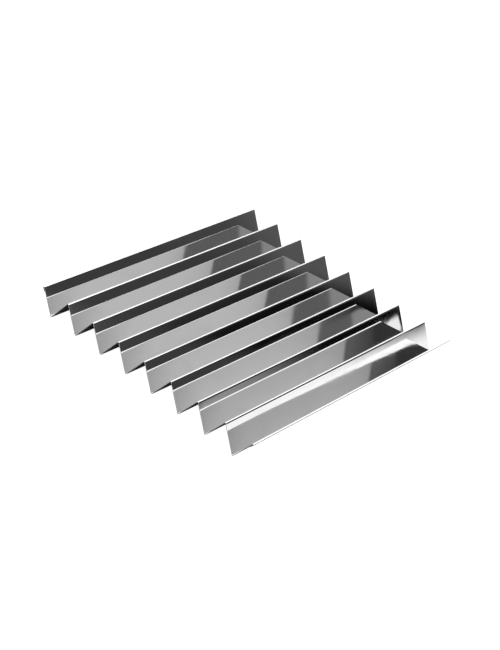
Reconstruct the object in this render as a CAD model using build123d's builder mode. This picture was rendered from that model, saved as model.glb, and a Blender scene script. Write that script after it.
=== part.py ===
from build123d import *
from math import asin, atan2, cos, degrees, hypot, tan
import os

# Wave sheet: one bright stainless steel sheet, folded to and fro on a press brake into a row of
# V-shaped channels.  Millimetres, +X along the channels, +Y across them, +Z up.
# The origin is under the middle of the sheet, on the plane that its lower folds rest on.

# ---------------------------------------------------------------- driving dimensions
channel_length = 400.0      # length of every fold, end to end
channel_count = 8           # V-shaped channels, so one crest more than that
channel_pitch = 43.2        # from one crest to the next
sheet_depth = 33.2          # underside of the lower folds to the top of the crests
sheet_thickness = 0.8
bend_radius = 0.4           # inside radius of every fold between two walls
hem_gap = 0.8               # inside width of the loop where an outer edge is folded back
hem_return = 5.5            # straight part of the folded-back lip
hem_tip_gap = 0.3           # the lip leans in to this distance from its wall

# ---------------------------------------------------------------- worked out from those
half_pitch = channel_pitch / 2
neutral_radius = bend_radius + sheet_thickness / 2
hem_radius = (hem_gap + sheet_thickness) / 2
hem_turn = 180 + degrees(asin((hem_gap - hem_tip_gap) / hem_return))

# The middle line of a wall is the tangent that crosses between the arc of the fold below it and
# the arc of the fold above it, and both arcs have the same radius.
arc_rise = sheet_depth - sheet_thickness - 2 * neutral_radius
wall_angle = atan2(arc_rise, half_pitch) + asin(2 * neutral_radius / hypot(half_pitch, arc_rise))
corner_rise = half_pitch * tan(wall_angle)
low_corner = (sheet_depth - corner_rise) / 2
high_corner = low_corner + corner_rise
half_width = channel_count * half_pitch

# An end wall stands at the same angle as the others but has no fold above it: it runs straight up
# to its hem, whose loop reaches the same height as the crests.
hem_top = sheet_depth - sheet_thickness / 2
hem_start_rise = hem_top - low_corner - hem_radius * (1 + cos(wall_angle))
hem_start_run = hem_start_rise / tan(wall_angle)

# ---------------------------------------------------------------- the middle line of the sheet
# Sharp corners of the zigzag from the back edge to the front edge: a low corner in the middle of
# every channel, a high corner between one channel and the next.
first_low = half_width - half_pitch
corners = [(first_low + hem_start_run, low_corner + hem_start_rise)]
for channel in range(channel_count):
    low_y = first_low - channel * channel_pitch
    corners.append((low_y, low_corner))
    if channel < channel_count - 1:
        corners.append((low_y - half_pitch, high_corner))
corners.append((-first_low - hem_start_run, low_corner + hem_start_rise))

with BuildPart() as wave_sheet:
    with BuildSketch(Plane.YZ.offset(-channel_length / 2)):
        with BuildLine():
            folds = FilletPolyline(*corners, radius=neutral_radius)
            back_loop = JernArc(
                start=folds @ 0, tangent=-(folds % 0), radius=hem_radius, arc_size=-hem_turn
            )
            PolarLine(start=back_loop @ 1, length=hem_return, direction=back_loop % 1)
            front_loop = JernArc(
                start=folds @ 1, tangent=folds % 1, radius=hem_radius, arc_size=hem_turn
            )
            PolarLine(start=front_loop @ 1, length=hem_return, direction=front_loop % 1)
        trace(line_width=sheet_thickness)
    extrude(amount=channel_length)

wave_sheet.part.label = "wave_sheet"

os.makedirs("parts", exist_ok=True)
export_step(wave_sheet.part, "parts/wave_sheet.step")

bounds = wave_sheet.part.bounding_box()
print("wave_sheet solids", len(wave_sheet.part.solids()), "volume", round(wave_sheet.part.volume, 1))
print("wall angle", round(degrees(wall_angle), 2), "hem turn", round(hem_turn, 2))
print("size", bounds.size, "lowest", round(bounds.min.Z, 4))
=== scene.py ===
from math import asin, atan2, cos, hypot, pi, radians, sin, tan

import bmesh
import bpy
from mathutils import Matrix, Vector, noise


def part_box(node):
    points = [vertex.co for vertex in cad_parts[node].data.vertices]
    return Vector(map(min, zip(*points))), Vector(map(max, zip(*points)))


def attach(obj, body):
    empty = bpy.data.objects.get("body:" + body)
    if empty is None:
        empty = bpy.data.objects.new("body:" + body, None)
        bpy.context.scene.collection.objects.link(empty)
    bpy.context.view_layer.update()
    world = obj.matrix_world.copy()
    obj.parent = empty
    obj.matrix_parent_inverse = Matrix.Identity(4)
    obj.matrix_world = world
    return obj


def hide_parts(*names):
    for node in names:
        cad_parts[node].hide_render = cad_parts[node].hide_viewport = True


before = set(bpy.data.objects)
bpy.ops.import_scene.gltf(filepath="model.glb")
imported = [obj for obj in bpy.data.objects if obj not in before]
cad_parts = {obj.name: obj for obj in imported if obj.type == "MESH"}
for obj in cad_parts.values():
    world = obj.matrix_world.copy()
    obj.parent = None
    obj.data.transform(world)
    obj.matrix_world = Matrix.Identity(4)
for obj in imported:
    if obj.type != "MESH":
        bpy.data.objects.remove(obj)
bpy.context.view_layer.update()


# ---------------------------------------------------------------------------
# The wave sheet
# One sheet of 0.8 mm bright stainless steel, folded on a press brake into eight
# V channels. Both free edges are folded flat on themselves to the outer side as
# an open hem. Nothing is fixed to it: it rests loose on its eight lower folds.
# ---------------------------------------------------------------------------

low, high = (Vector(corner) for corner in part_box("wave_sheet"))
sheet_depth = high.z - low.z
sheet_middle = (low.y + high.y) / 2

channel_count = 8
channel_pitch = 0.0432
sheet_thickness = 0.0008
fold_radius = 0.0004 + sheet_thickness / 2          # to the middle of the metal
hem_gap = 0.0008
hem_lip = 0.0055
hem_tip_gap = 0.0003

half_pitch = channel_pitch / 2
hem_radius = (hem_gap + sheet_thickness) / 2
hem_turn = pi + asin((hem_gap - hem_tip_gap) / hem_lip)
crest_rise = sheet_depth - sheet_thickness - 2 * fold_radius
wall_angle = atan2(crest_rise, half_pitch) + asin(2 * fold_radius / hypot(half_pitch, crest_rise))
corner_rise = half_pitch * tan(wall_angle)
low_corner = (sheet_depth - corner_rise) / 2
crest_height = sheet_depth - sheet_thickness / 2     # to the middle of the metal

# The outer walls end in the hem, whose loop reaches the height of the crests.
end_wall = (crest_height - low_corner - hem_radius * (1 + cos(wall_angle))) / sin(wall_angle)

# A crest starts with a slow lead-in on both sides, where the metal lifted off the die. The
# tight part in the middle is that much tighter, so that the walls stay where they are.
lead_radius = 0.022
lead_turn = radians(4.6)
tight_radius = (fold_radius * (1 - cos(wall_angle)) - lead_radius * (1 - cos(lead_turn))) \
    / (cos(lead_turn) - cos(wall_angle))
crest_reach = (tight_radius * sin(wall_angle - lead_turn)
               + lead_radius * (sin(wall_angle) - sin(wall_angle - lead_turn))) / cos(wall_angle)
fold_reach = fold_radius * tan(wall_angle)

# How finely each part of the run is divided. A narrow strip beside each fold is held flat.
held_strip = 0.0006
wall_strips = 5
length_cuts = 49
lead_steps = 6
tight_steps = 14
hem_steps = 24
weld_distance = 1e-6


class FoldingRun:
    """The sheet's own run from one fold to the next, carried along by its leading edge."""

    def __init__(self, sheet, edges, y, z):
        self.sheet = sheet
        self.edges = edges
        self.y, self.z = y, z
        self.heading = 0.0

    def flat(self, length):
        grown = bmesh.ops.extrude_edge_only(self.sheet, edges=self.edges)["geom"]
        step = Vector((0, length * cos(self.heading), length * sin(self.heading)))
        ends = [v for v in grown if isinstance(v, bmesh.types.BMVert)]
        bmesh.ops.translate(self.sheet, verts=ends, vec=step)
        self.edges = [e for e in grown if isinstance(e, bmesh.types.BMEdge)
                      and e.verts[0] in ends and e.verts[1] in ends]
        self.y += step.y
        self.z += step.z

    def wall(self, length):
        self.flat(held_strip)
        for _ in range(wall_strips):
            self.flat((length - 2 * held_strip) / wall_strips)
        self.flat(held_strip)

    def arc(self, radius, turn, steps):
        side = 1 if turn > 0 else -1
        centre_y = self.y - side * radius * sin(self.heading)
        centre_z = self.z + side * radius * cos(self.heading)
        verts = list({v for e in self.edges for v in e.verts})
        last = bmesh.ops.spin(self.sheet, geom=verts + self.edges, cent=(0, centre_y, centre_z),
                              axis=(1, 0, 0), angle=turn, steps=steps)["geom_last"]
        self.edges = [e for e in last if isinstance(e, bmesh.types.BMEdge)]
        self.heading += turn
        self.y = centre_y + side * radius * sin(self.heading)
        self.z = centre_z - side * radius * cos(self.heading)

    def crest(self):
        self.arc(lead_radius, -lead_turn, lead_steps)
        self.arc(tight_radius, 2 * (lead_turn - wall_angle), tight_steps)
        self.arc(lead_radius, -lead_turn, lead_steps)


sheet = bmesh.new()
ends = [sheet.verts.new((x, sheet_middle, crest_height)) for x in (low.x, high.x)]
middle_crest = sheet.edges.new(ends)
bmesh.ops.subdivide_edges(sheet, edges=[middle_crest], cuts=length_cuts)

# From the middle crest outwards: down a wall, round a lower fold, up a wall, over a crest.
run = FoldingRun(sheet, list(sheet.edges), sheet_middle, crest_height)
run.arc(tight_radius, lead_turn - wall_angle, tight_steps // 2)
run.arc(lead_radius, -lead_turn, lead_steps)
straight_wall = half_pitch / cos(wall_angle) - fold_reach - crest_reach
for channel in range(channel_count // 2):
    run.wall(straight_wall)
    run.arc(fold_radius, 2 * wall_angle, tight_steps)
    if channel < channel_count // 2 - 1:
        run.wall(straight_wall)
        run.crest()
run.wall(end_wall - fold_reach - hem_lip)
open_faces = set(sheet.faces)
run.flat(hem_lip)
run.arc(hem_radius, -hem_turn, hem_steps)
run.flat(hem_lip)

# The hem and the strip of wall that it covers are painted dark inside, as painted shade in the
# gap. A second face takes the slot after its first face's, and the cut edges take the last slot.
hem_slot = 1
second_face_shift = 1
cut_edge_shift = 3
for face in sheet.faces:
    if face not in open_faces:
        face.material_index = hem_slot

bmesh.ops.mirror(sheet, geom=list(sheet.verts) + list(sheet.edges) + list(sheet.faces),
                 matrix=Matrix.Translation((0, sheet_middle, 0)), merge_dist=weld_distance,
                 axis="Y")
bmesh.ops.remove_doubles(sheet, verts=list(sheet.verts), dist=weld_distance)
bmesh.ops.recalc_face_normals(sheet, faces=list(sheet.faces))

# Thin sheet is never dead flat: the walls belly by about a hundredth of a millimetre, each in
# its own way, and the folds, which are stiff, stay straight.
belly_size = 0.000012
belly_length = 0.10
belly_step = 7.3            # from one wall's waves to the next wall's
belly_start = 3.1
sheet.normal_update()
for vert in sheet.verts:
    up_the_wall = (vert.co.z - sheet_thickness / 2) / (sheet_depth - sheet_thickness)
    wall_number = round(vert.co.y / half_pitch - 0.5)
    along_wall = noise.noise((vert.co.x / belly_length, belly_step * wall_number, belly_start))
    vert.co += vert.normal * belly_size * along_wall * sin(pi * up_the_wall) ** 2

sheet_mesh = bpy.data.meshes.new("wave_sheet_folded")
sheet.to_mesh(sheet_mesh)
sheet.free()
for face in sheet_mesh.polygons:
    face.use_smooth = True
wave_sheet = bpy.data.objects.new("wave_sheet_folded", sheet_mesh)
bpy.context.scene.collection.objects.link(wave_sheet)

edge_break = 0.00008
sharpest_bend = radians(50)
gauge = wave_sheet.modifiers.new("gauge", "SOLIDIFY")
gauge.thickness = sheet_thickness
gauge.offset = 0
gauge.use_even_offset = True
gauge.use_quality_normals = True
gauge.material_offset = second_face_shift
gauge.material_offset_rim = cut_edge_shift
deburred = wave_sheet.modifiers.new("deburred", "BEVEL")
deburred.width = edge_break
deburred.segments = 2
deburred.limit_method = "ANGLE"
deburred.angle_limit = sharpest_bend
deburred.use_clamp_overlap = True
flats = wave_sheet.modifiers.new("flats", "WEIGHTED_NORMAL")
flats.keep_sharp = True
flats.weight = 100


def wire(tree, node, **values):
    """Sets a node's sockets from plain values or joins them to other nodes' outputs."""
    for name, value in values.items():
        socket = node.inputs[name.replace("_", " ")]
        if isinstance(value, bpy.types.NodeSocket):
            tree.links.new(value, socket)
        else:
            socket.default_value = value
    return node


def effect_group(name, inputs, outputs):
    """An empty group of shader nodes that takes numbers and gives numbers."""
    group = bpy.data.node_groups.new(name, "ShaderNodeTree")
    for label, value in inputs.items():
        socket = group.interface.new_socket(name=label, in_out="INPUT",
                                            socket_type="NodeSocketFloat")
        socket.default_value = value
    for label in outputs:
        group.interface.new_socket(name=label, in_out="OUTPUT", socket_type="NodeSocketFloat")
    return group, group.nodes.new("NodeGroupInput"), group.nodes.new("NodeGroupOutput")


def add(tree, kind, **settings):
    node = tree.nodes.new(kind)
    for name, value in settings.items():
        setattr(node, name, value)
    return node


def place_group(tree, group, **values):
    node = add(tree, "ShaderNodeGroup", node_tree=group)
    return wire(tree, node, **values)


# Rolled grain: fine streaks along the sheet's length, the way it went through the mill.
grain, given, result = effect_group("rolled_grain", {"Along": 9.0, "Across": 1400.0},
                                    ["Tone", "Height"])
spot = add(grain, "ShaderNodeTexCoord").outputs["Object"]
spread = wire(grain, add(grain, "ShaderNodeCombineXYZ"), X=given.outputs["Along"],
              Y=given.outputs["Across"], Z=given.outputs["Across"]).outputs[0]
stretched = wire(grain, add(grain, "ShaderNodeVectorMath", operation="MULTIPLY"), Vector=spot)
grain.links.new(spread, stretched.inputs[1])
streaks = wire(grain, add(grain, "ShaderNodeTexNoise"), Vector=stretched.outputs[0],
               Scale=1.0, Detail=3.0, Roughness=0.6).outputs["Fac"]
tone = wire(grain, add(grain, "ShaderNodeMapRange"), Value=streaks, From_Min=0.32, From_Max=0.68)
grain.links.new(tone.outputs["Result"], result.inputs["Tone"])
grain.links.new(streaks, result.inputs["Height"])

# Handling marks: faint wiped smears, in patches a few centimetres across.
marks, given, result = effect_group("handling_marks", {"Patches": 19.0, "Cover": 0.5}, ["Mask"])
spot = add(marks, "ShaderNodeTexCoord").outputs["Object"]
patches = wire(marks, add(marks, "ShaderNodeTexNoise"), Vector=spot,
               Scale=given.outputs["Patches"], Detail=2.0, Distortion=0.8).outputs["Fac"]
smears = wire(marks, add(marks, "ShaderNodeTexNoise"), Vector=spot, Scale=160.0, Detail=4.0,
              Roughness=0.7, Distortion=1.5).outputs["Fac"]
upper = wire(marks, add(marks, "ShaderNodeMath", operation="ADD"), Value=given.outputs["Cover"])
upper.inputs[1].default_value = 0.22
worn = wire(marks, add(marks, "ShaderNodeMapRange", interpolation_type="SMOOTHSTEP"),
            Value=patches, From_Min=given.outputs["Cover"], From_Max=upper.outputs[0])
broken = wire(marks, add(marks, "ShaderNodeMapRange"), Value=smears, From_Min=0.35,
              From_Max=0.7, To_Min=0.3)
mask = wire(marks, add(marks, "ShaderNodeMath", operation="MULTIPLY"),
            Value=worn.outputs["Result"])
marks.links.new(broken.outputs["Result"], mask.inputs[1])
marks.links.new(mask.outputs[0], result.inputs["Mask"])

# Tool lines: the press tool rubs the sheet dull in a narrow line at every fold.
tool_lines, given, result = effect_group(
    "tool_lines", {"Middle": (low.z + high.z) / 2, "Reach": sheet_depth / 2, "Width": 0.0016},
    ["Mask"])
spot = add(tool_lines, "ShaderNodeTexCoord").outputs["Object"]
height = wire(tool_lines, add(tool_lines, "ShaderNodeSeparateXYZ"), Vector=spot).outputs["Z"]
offset = wire(tool_lines, add(tool_lines, "ShaderNodeMath", operation="SUBTRACT"), Value=height)
tool_lines.links.new(given.outputs["Middle"], offset.inputs[1])
distance = add(tool_lines, "ShaderNodeMath", operation="ABSOLUTE")
tool_lines.links.new(offset.outputs[0], distance.inputs[0])
inner = wire(tool_lines, add(tool_lines, "ShaderNodeMath", operation="SUBTRACT"),
             Value=given.outputs["Reach"])
tool_lines.links.new(given.outputs["Width"], inner.inputs[1])
rubbed = wire(tool_lines, add(tool_lines, "ShaderNodeMapRange"), Value=distance.outputs[0],
              From_Min=inner.outputs[0], From_Max=given.outputs["Reach"])
tool_lines.links.new(rubbed.outputs["Result"], result.inputs["Mask"])


def weighted(tree, *pairs):
    """The sum of each value times its weight, after a plain first number."""
    total = pairs[0]
    for value, weight in pairs[1:]:
        node = add(tree, "ShaderNodeMath", operation="MULTIPLY_ADD")
        tree.links.new(value, node.inputs[0])
        node.inputs[1].default_value = weight
        if isinstance(total, bpy.types.NodeSocket):
            tree.links.new(total, node.inputs[2])
        else:
            node.inputs[2].default_value = total
        total = node.outputs[0]
    return total


def between(tree, light_grey, dark_grey, factor):
    node = add(tree, "ShaderNodeMix", data_type="RGBA")
    node.inputs[6].default_value = (light_grey, light_grey, light_grey, 1)
    node.inputs[7].default_value = (dark_grey, dark_grey, dark_grey, 1)
    tree.links.new(factor, node.inputs[0])
    return node.outputs[2]


# Bright annealed finish: close to a mirror, with all three effects faint.
bright = bpy.data.materials.new("bright_annealed_stainless")
bright.use_nodes = True
tree = bright.node_tree
rolled = place_group(tree, grain)
handled = place_group(tree, marks)
pressed = place_group(tree, tool_lines)
dulling = weighted(tree, 0.02, (rolled.outputs["Tone"], 0.34), (handled.outputs["Mask"], 0.5),
                   (pressed.outputs["Mask"], 0.15))
roughness = weighted(tree, 0.017, (rolled.outputs["Tone"], 0.006),
                     (handled.outputs["Mask"], 0.03), (pressed.outputs["Mask"], 0.03))
ripple = wire(tree, add(tree, "ShaderNodeTexNoise"), Scale=70.0, Detail=1.0,
              Vector=add(tree, "ShaderNodeTexCoord").outputs["Object"]).outputs["Fac"]
relief = wire(tree, add(tree, "ShaderNodeBump"), Strength=1.0, Distance=0.000004, Height=ripple)
wire(tree, tree.nodes["Principled BSDF"], Metallic=1.0, Roughness=roughness,
     Base_Color=between(tree, 0.655, 0.595, dulling), Normal=relief.outputs[0])

# Inside the hem the metal is painted dull and dark, as painted shade in the narrow gap, with a
# faint mottle.
hem_gap_shade = bpy.data.materials.new("hem_inside_painted_shade")
hem_gap_shade.use_nodes = True
tree = hem_gap_shade.node_tree
handled = place_group(tree, marks, Patches=60.0, Cover=0.35)
rolled = place_group(tree, grain, Along=30.0, Across=900.0)
# Painted shade: dark grey, mottled faintly by the marks and the grain.
shade_mottle = weighted(tree, 0.1, (handled.outputs["Mask"], 0.5), (rolled.outputs["Tone"], 0.3))
wire(tree, tree.nodes["Principled BSDF"], Metallic=0.4, Base_Color=between(tree, 0.12, 0.04, shade_mottle),
     Roughness=weighted(tree, 0.4, (handled.outputs["Mask"], 0.2)))

# The cut edge is half burnished and half torn, in fine grains.
sheared = bpy.data.materials.new("sheared_stainless_edge")
sheared.use_nodes = True
tree = sheared.node_tree
torn = place_group(tree, grain, Along=2600.0, Across=2600.0)
relief = wire(tree, add(tree, "ShaderNodeBump"), Strength=0.5, Distance=0.00002,
              Height=torn.outputs["Height"])
wire(tree, tree.nodes["Principled BSDF"], Metallic=1.0, Normal=relief.outputs[0],
     Base_Color=between(tree, 0.70, 0.56, torn.outputs["Tone"]),
     Roughness=weighted(tree, 0.28, (torn.outputs["Tone"], 0.16)))

# The wall finish covers both faces; the hem's second face is its inside, in painted shade.
for finish in (bright, bright, hem_gap_shade, sheared):
    sheet_mesh.materials.append(finish)

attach(wave_sheet, "root")
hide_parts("wave_sheet")


# ---------------------------------------------------------------------------
# The table
# A plain acrylic top on which the sheet lies loose. It glows white to the camera only: the
# sheet and its reflections see it as grey, and no shadow shows on it.
# ---------------------------------------------------------------------------

table_half = 6.0
table_gap = 0.00005
acrylic_grey = 0.12
top = bmesh.new()
bmesh.ops.create_grid(top, x_segments=1, y_segments=1, size=table_half)
bmesh.ops.translate(top, verts=list(top.verts), vec=(0, 0, low.z - table_gap))
table_mesh = bpy.data.meshes.new("table_top")
top.to_mesh(table_mesh)
top.free()
table = bpy.data.objects.new("table_top", table_mesh)
bpy.context.scene.collection.objects.link(table)

acrylic = bpy.data.materials.new("white_acrylic")
acrylic.use_nodes = True
tree = acrylic.node_tree
seen = add(tree, "ShaderNodeLightPath").outputs["Is Camera Ray"]
wire(tree, tree.nodes["Principled BSDF"], Roughness=0.6, Specular_IOR_Level=0.0,
     Base_Color=(acrylic_grey, acrylic_grey, acrylic_grey, 1), Emission_Color=(1, 1, 1, 1),
     Emission_Strength=seen)
table_mesh.materials.append(acrylic)


# ---------------------------------------------------------------------------
# The studio
# A white tent around the table, with flags of black and grey cloth inside it, so that the
# sheet has something dark to reflect. All of it is distant light, placed by direction.
# ---------------------------------------------------------------------------

studio = bpy.data.worlds.new("studio")
bpy.context.scene.world = studio
studio.use_nodes = True
tree = studio.node_tree
tree.nodes.clear()
toward = tree.nodes.new("ShaderNodeTexCoord").outputs["Generated"]


def heading(azimuth, elevation):
    """The direction seen at an azimuth from the front towards the right, in degrees."""
    a, e = radians(azimuth), radians(elevation)
    return Vector((cos(e) * sin(a), -cos(e) * cos(a), sin(e)))


def math_node(operation, *values):
    node = tree.nodes.new("ShaderNodeMath")
    node.operation = operation
    for socket, value in zip(node.inputs, values):
        if isinstance(value, bpy.types.NodeSocket):
            tree.links.new(value, socket)
        else:
            socket.default_value = value
    return node.outputs[0]


def along(direction):
    node = tree.nodes.new("ShaderNodeVectorMath")
    node.operation = "DOT_PRODUCT"
    tree.links.new(toward, node.inputs[0])
    node.inputs[1].default_value = direction
    return node.outputs["Value"]


def ramp(value, start, end, first=0.0, second=1.0, shape="SMOOTHSTEP"):
    node = tree.nodes.new("ShaderNodeMapRange")
    node.interpolation_type = shape
    for name, entry in (("Value", value), ("From Min", start), ("From Max", end),
                        ("To Min", first), ("To Max", second)):
        if isinstance(entry, bpy.types.NodeSocket):
            tree.links.new(entry, node.inputs[name])
        else:
            node.inputs[name].default_value = entry
    return node.outputs["Result"]


def blend(below, above, mask):
    node = tree.nodes.new("ShaderNodeMix")
    for socket, value in zip((node.inputs[0], node.inputs[2], node.inputs[3]),
                             (mask, below, above)):
        if isinstance(value, bpy.types.NodeSocket):
            tree.links.new(value, socket)
        else:
            socket.default_value = value
    return node.outputs[0]


def panel(azimuth, elevation, half_width, half_height, softness):
    """The mask of an upright panel, in degrees, and the places across it and up it."""
    centre = heading(azimuth, elevation)
    right = Vector((cos(radians(azimuth)), sin(radians(azimuth)), 0))
    up = centre.cross(right)
    ahead = along(centre)
    across = math_node("DIVIDE", along(right), ahead)
    upward = math_node("DIVIDE", along(up), ahead)
    mask = math_node("GREATER_THAN", ahead, 0.0)
    for position, half in ((across, half_width), (upward, half_height)):
        inner, outer = tan(radians(half - softness)), tan(radians(half + softness))
        edge = ramp(math_node("ABSOLUTE", position), inner, outer, 1.0, 0.0)
        mask = math_node("MULTIPLY", mask, edge)
    return mask, across, upward


# White tent, less bright near the table.
tent_skirt, tent_roof = 1.42, 2.35
light = ramp(along((0, 0, 1)), sin(radians(8)), sin(radians(22)), tent_skirt, tent_roof)

# Black flag low on the right. Its lower edge slants, and is softer towards the right. It is
# blackest in a slanting band, and the tent's light spills over its lower left part.
flag, across, upward = panel(47.5, 11.0, half_width=7.0, half_height=8.5, softness=0.3)
lower = heading(44, 8.42).cross(heading(50, 7.05)).normalized()
lower = lower if lower.z > 0 else -lower
penumbra = math_node("MULTIPLY_ADD", math_node("MAXIMUM", across, 0.0), -0.06, -0.0087)
lower_mask = ramp(along(lower), penumbra, sin(radians(0.25)))
inside = ramp(upward, -0.026, 0.045, 0.005, 0.062)
left_side = math_node("MULTIPLY", ramp(across, -0.05, -0.10, 0.0, 0.05), ramp(upward, 0.02, 0.07))
around = math_node("ADD", ramp(upward, -0.017, 0.07, 0.062, 0.082),
                   math_node("ADD", left_side, ramp(across, 0.005, 0.035, 0.0, 0.06)))
slant = math_node("MULTIPLY_ADD", upward, 0.8625, across)
core = math_node("MULTIPLY", ramp(slant, -0.062, -0.038), ramp(slant, 0.009, 0.031, 1.0, 0.0))
spill = math_node("MULTIPLY", ramp(across, -0.060, 0.022, 0.40, 0.0),
                  ramp(upward, -0.042, -0.030, 1.0, 0.0))
glow = math_node("MAXIMUM", blend(around, inside, core), spill)
light = blend(light, glow, math_node("MULTIPLY", flag, lower_mask))

# A small gap at the flag's lower right corner lets the tent through.
corner_gap, _, _ = panel(50.95, 7.1, half_width=0.30, half_height=0.25, softness=0.08)
light = blend(light, 1.3, corner_gap)

# Grey flags to the left and behind, which the walls reflect when seen from the other sides.
left_flag, across, upward = panel(-44.5, 24.0, half_width=11.0, half_height=8.0, softness=2.5)
light = blend(light, math_node("ADD", ramp(across, -0.2, 0.2, 0.10, 0.34),
                               ramp(upward, -0.12, 0.12, -0.05, 0.08)), left_flag)
left_scrim, across, upward = panel(-82.0, 50.0, half_width=10.0, half_height=9.0, softness=2.0)
light = blend(light, ramp(across, -0.03, 0.05, 1.0, 0.55), left_scrim)
back_flag, across, upward = panel(130.0, 33.0, half_width=11.0, half_height=7.5, softness=3.5)
light = blend(light, ramp(upward, -0.1, 0.1, 0.20, 0.50), back_flag)

# The camera sees none of it, only a plain white backdrop.
seen = tree.nodes.new("ShaderNodeLightPath").outputs["Is Camera Ray"]
light = blend(light, 1.0, seen)
background = tree.nodes.new("ShaderNodeBackground")
background.inputs["Color"].default_value = (1, 1, 1, 1)
tree.links.new(light, background.inputs["Strength"])
output = tree.nodes.new("ShaderNodeOutputWorld")
tree.links.new(background.outputs[0], output.inputs["Surface"])


# ---------------------------------------------------------------------------
# The scrim
# A translucent sheet stretched on a slanting frame, a metre from the table, up to the right.
# Light comes through its upper part. Its lower part hangs behind a cloth and a grey card.
# It shows only in the sheet's reflections, and casts no shadow.
# ---------------------------------------------------------------------------

scrim_edge = Vector((0.7566, 0.1122, 0.6361))
along_edge = Vector((0.76909, -0.58620, 0.25471)).normalized()
scrim_up = Vector((-0.48138, -0.26911, 0.83418))
toward_sheet = along_edge.cross(scrim_up).normalized()
scrim_up = toward_sheet.cross(along_edge)
frame_up = Matrix((along_edge, scrim_up, toward_sheet)).transposed()
cloth = bmesh.new()
frame_corners = ((-0.115, -0.125, 0), (0.260, -0.125, 0), (0.010, 0.265, 0), (-0.325, 0.265, 0))
cloth.faces.new([cloth.verts.new(corner) for corner in frame_corners])
scrim_mesh = bpy.data.meshes.new("scrim")
cloth.to_mesh(scrim_mesh)
cloth.free()
scrim = bpy.data.objects.new("scrim", scrim_mesh)
scrim.matrix_world = Matrix.Translation(scrim_edge) @ frame_up.to_4x4()
bpy.context.scene.collection.objects.link(scrim)
scrim.visible_camera = False
scrim.visible_diffuse = False
scrim.visible_shadow = False

backlit = bpy.data.materials.new("backlit_scrim")
backlit.use_nodes = True
backlit.cycles.emission_sampling = "NONE"
tree = backlit.node_tree
tree.nodes.clear()
toward = add(tree, "ShaderNodeTexCoord").outputs["Object"]

# Dimmer towards the front, at the top end, and close to the cloth's edge.
front = along((1.0, 0.7, 0))
height = along((0, 1, 0))
top_end = along((-0.15, 1, 0))
lit = math_node("MULTIPLY", ramp(front, 0.020, 0.230, 1.10, 0.78),
                ramp(top_end, 0.205, 0.290, 1.0, 0.72))
fade_height = 0.032
near_edge = math_node("EXPONENT", math_node("DIVIDE", height, -fade_height))
lit = math_node("MULTIPLY", lit, math_node("MULTIPLY_ADD", near_edge, -0.27, 1.0))

# The cloth is darker at the front, and the card shows grey below it, up to the front part.
at_front = ramp(front, 0.090, 0.104)
cloth_grey = blend(0.23, ramp(height, -0.061, -0.006, 0.07, 0.22, "LINEAR"), at_front)
card_grey = blend(0.52, 0.07, at_front)
grey = blend(card_grey, cloth_grey, ramp(along((-0.17, 1, 0)), -0.083, -0.073))
level = blend(grey, lit, ramp(height, -0.001, 0.005))
glow = add(tree, "ShaderNodeEmission")
tree.links.new(level, glow.inputs["Strength"])
tree.links.new(glow.outputs[0], add(tree, "ShaderNodeOutputMaterial").inputs["Surface"])
scrim_mesh.materials.append(backlit)


# ---------------------------------------------------------------------------
# The camera
# Stands back to the left of the front, looks down on the sheet, slightly rolled.
# ---------------------------------------------------------------------------

lens_length = 89.84
camera_place = (-1.45771, -0.89787, 1.11212)
forward = Vector((0.71679, 0.44160, -0.53963)).normalized()
image_right = Vector((0.63599, -0.73133, 0.24631))

scene = bpy.context.scene
scene.view_settings.view_transform = "Standard"
lens = bpy.data.cameras.new("camera")
lens.sensor_width = 36
lens.lens = lens_length
camera = bpy.data.objects.new("camera", lens)
scene.collection.objects.link(camera)
scene.camera = camera
image_up = image_right.cross(forward).normalized()
image_right = forward.cross(image_up)
turned = Matrix((image_right, image_up, -forward)).transposed()
camera.matrix_world = Matrix.Translation(camera_place) @ turned.to_4x4()
